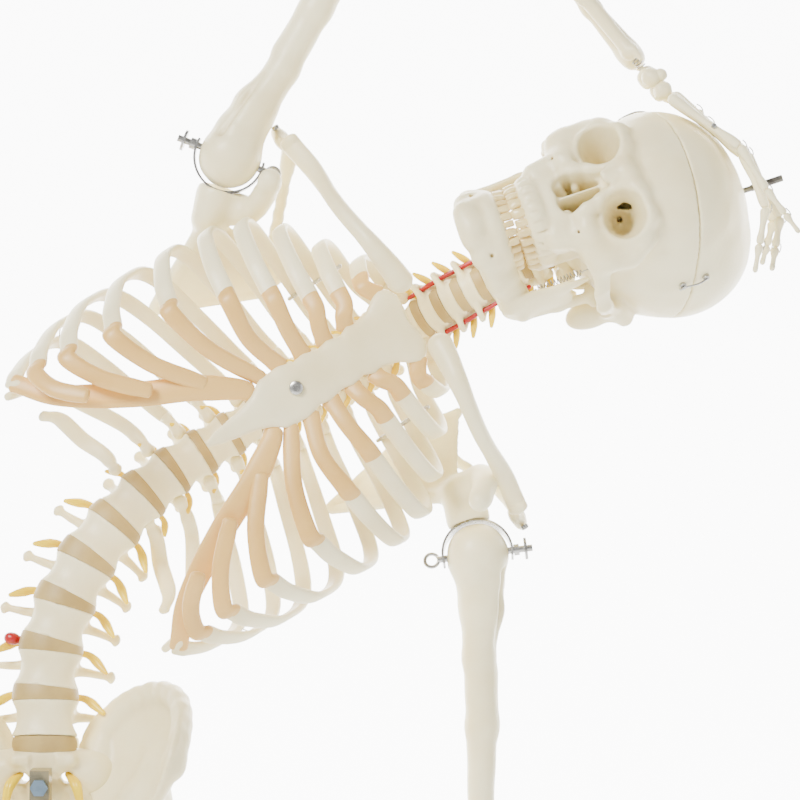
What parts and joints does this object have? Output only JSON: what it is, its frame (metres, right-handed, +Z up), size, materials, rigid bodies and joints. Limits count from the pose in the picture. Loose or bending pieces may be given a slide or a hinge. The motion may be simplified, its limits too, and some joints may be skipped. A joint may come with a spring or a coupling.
{
  "type": "human skeleton model",
  "caption": "Flexible-spine human skeleton teaching model, bent to one side, with a raised right arm, a cut skull and a floor stand.",
  "frame": {"origin": "floor level, on the axis of the stand's pole", "axes": "+Z up; the figure faces -Y and its own left side is +X"},
  "size_m": [0.8284, 0.6502, 1.7448],
  "materials": {
    "bone": "semi-matt ivory moulding",
    "teeth": "yellowish gloss",
    "cartilage": "tan, soft and matt",
    "nerve": "golden yellow",
    "red_vessel": "red, satin",
    "steel": "nickel-plated",
    "zinc": "blue zinc plate",
    "brass_edge": "worn plated bracket",
    "dark_steel": "darkened steel",
    "base_paint": "dark grey enamel",
    "rubber": "black"
  },
  "bodies": {
    "stand": {"base_legs": "base_paint", "base_feet": "rubber", "stand_pole": "steel", "pelvic_bracket": "brass_edge", "bracket_bolt": "zinc", "sacrum": "bone", "left_hip_bone": "bone", "right_hip_bone": "bone", "lower_lumbar_vertebrae": "bone", "pelvic_discs": "cartilage", "lower_nerve_roots": "nerve"},
    "lumbar": {"lumbar_vertebrae": "bone", "lumbar_discs": "cartilage", "lumbar_nerve_roots": "nerve", "slipped_disc": "red_vessel"},
    "thorax": {"thoracic_vertebrae": "bone", "thoracic_discs": "cartilage", "thoracic_nerve_roots": "nerve", "left_ribs": "bone", "right_ribs": "bone", "sternum": "bone", "left_costal_cartilages": "cartilage", "right_costal_cartilages": "cartilage", "left_clavicle": "bone", "right_clavicle": "bone", "left_scapula": "bone", "right_scapula": "bone", "thorax_screws": "steel"},
    "neck": {"cervical_vertebrae": "bone", "cervical_discs": "cartilage", "cervical_nerve_roots": "nerve", "vertebral_arteries": "red_vessel"},
    "skull": {"cranium": "bone", "upper_teeth": "teeth", "calvarium": "bone", "suspension_pins": "dark_steel"},
    "jaw": {"mandible": "bone", "lower_teeth": "teeth", "jaw_springs": "steel"},
    "left_yoke": {"left_shoulder_yoke": "steel", "left_shoulder_stud": "steel"},
    "right_yoke": {"right_shoulder_yoke": "steel", "right_shoulder_stud": "steel"},
    "left_upper_arm": {"left_humerus": "bone", "left_elbow_pin": "steel"},
    "right_upper_arm": {"right_humerus": "bone", "right_elbow_pin": "steel"},
    "left_forearm": {"left_forearm": "bone"},
    "right_forearm": {"right_forearm": "bone"},
    "left_hand": {"left_hand": "bone"},
    "right_hand": {"right_hand": "bone"},
    "left_thigh": {"left_femur": "bone", "left_leg_pins": "steel"},
    "right_thigh": {"right_femur": "bone", "right_leg_pins": "steel"},
    "left_shank": {"left_shank": "bone"},
    "right_shank": {"right_shank": "bone"},
    "left_foot": {"left_foot": "bone"},
    "right_foot": {"right_foot": "bone"}
  },
  "joints": [
    {"name": "lumbar_bend", "type": "hinge", "parent": "stand", "child": "lumbar", "pos_m": [0.00527, 0.04351, 1.1283], "axis": [0, 1, 0], "range_deg": [-8, 5]},
    {"name": "thorax_bend", "type": "hinge", "parent": "lumbar", "child": "thorax", "pos_m": [0.05008, 0.06143, 1.21739], "axis": [0, 1, 0], "range_deg": [-8, 5]},
    {"name": "neck_bend", "type": "hinge", "parent": "thorax", "child": "neck", "pos_m": [0.276, 0.04779, 1.3688], "axis": [0, 1, 0], "range_deg": [0, 7]},
    {"name": "head_turn", "type": "hinge", "parent": "neck", "child": "skull", "pos_m": [0.386, 0.027, 1.423], "axis": [0.9489, 0, 0.3156], "range_deg": [-4, 40]},
    {"name": "jaw_open", "type": "hinge", "parent": "skull", "child": "jaw", "pos_m": [0.38531, 0.0216, 1.42507], "axis": [0.2927, -0.3746, -0.8798], "range_deg": [0, 14], "deforming": ["jaw_springs"]},
    {"name": "left_shoulder_turn", "type": "hinge", "parent": "thorax", "child": "left_yoke", "pos_m": [0.31591, 0.038, 1.19555], "axis": [-0.1177, 0.3791, 0.9178], "range_deg": [-20, 20]},
    {"name": "left_shoulder_swing", "type": "hinge", "parent": "left_yoke", "child": "left_upper_arm", "pos_m": [0.31591, 0.038, 1.19555], "axis": [-0.9919, 0, -0.1272], "range_deg": [-25, 80]},
    {"name": "left_elbow", "type": "hinge", "parent": "left_upper_arm", "child": "left_forearm", "pos_m": [0.31939, 0.038, 0.90557], "axis": [-1, 0, 0], "range_deg": [0, 105]},
    {"name": "left_wrist", "type": "hinge", "parent": "left_forearm", "child": "left_hand", "pos_m": [0.32179, 0.038, 0.66558], "axis": [-1, 0, 0], "range_deg": [-30, 40]},
    {"name": "left_hip", "type": "hinge", "parent": "stand", "child": "left_thigh", "pos_m": [0.088, -0.004, 0.964], "axis": [-1, 0, 0], "range_deg": [-10, 60]},
    {"name": "left_knee", "type": "hinge", "parent": "left_thigh", "child": "left_shank", "pos_m": [0.088, -0.004, 0.552], "axis": [1, 0, 0], "range_deg": [0, 90]},
    {"name": "left_ankle", "type": "hinge", "parent": "left_shank", "child": "left_foot", "pos_m": [0.088, -0.004, 0.19], "axis": [1, 0, 0], "range_deg": [-15, 25]},
    {"name": "right_shoulder_turn", "type": "hinge", "parent": "thorax", "child": "right_yoke", "pos_m": [0.13468, 0.038, 1.48558], "axis": [-0.361, 0, -0.9326], "range_deg": [0, 25]},
    {"name": "right_shoulder_swing", "type": "hinge", "parent": "right_yoke", "child": "right_upper_arm", "pos_m": [0.13468, 0.038, 1.48558], "axis": [0.9326, 0, -0.361], "range_deg": [-10, 5]},
    {"name": "right_elbow", "type": "hinge", "parent": "right_upper_arm", "child": "right_forearm", "pos_m": [0.28543, 0.0293, 1.73316], "axis": [-0.1071, -0.9938, 0.0303], "range_deg": [0, 90]},
    {"name": "right_wrist", "type": "hinge", "parent": "right_forearm", "child": "right_hand", "pos_m": [0.4351, 0.0075, 1.54682], "axis": [0, -1, 0], "range_deg": [0, 40]},
    {"name": "right_hip", "type": "hinge", "parent": "stand", "child": "right_thigh", "pos_m": [-0.088, -0.004, 0.964], "axis": [-1, 0, 0], "range_deg": [-10, 60]},
    {"name": "right_knee", "type": "hinge", "parent": "right_thigh", "child": "right_shank", "pos_m": [-0.088, -0.004, 0.552], "axis": [1, 0, 0], "range_deg": [0, 90]},
    {"name": "right_ankle", "type": "hinge", "parent": "right_shank", "child": "right_foot", "pos_m": [-0.088, -0.004, 0.19], "axis": [1, 0, 0], "range_deg": [-15, 25]}
  ],
  "couplings": [
    {"joint": "thorax_bend", "follows": "lumbar_bend", "ratio": 1}
  ]
}
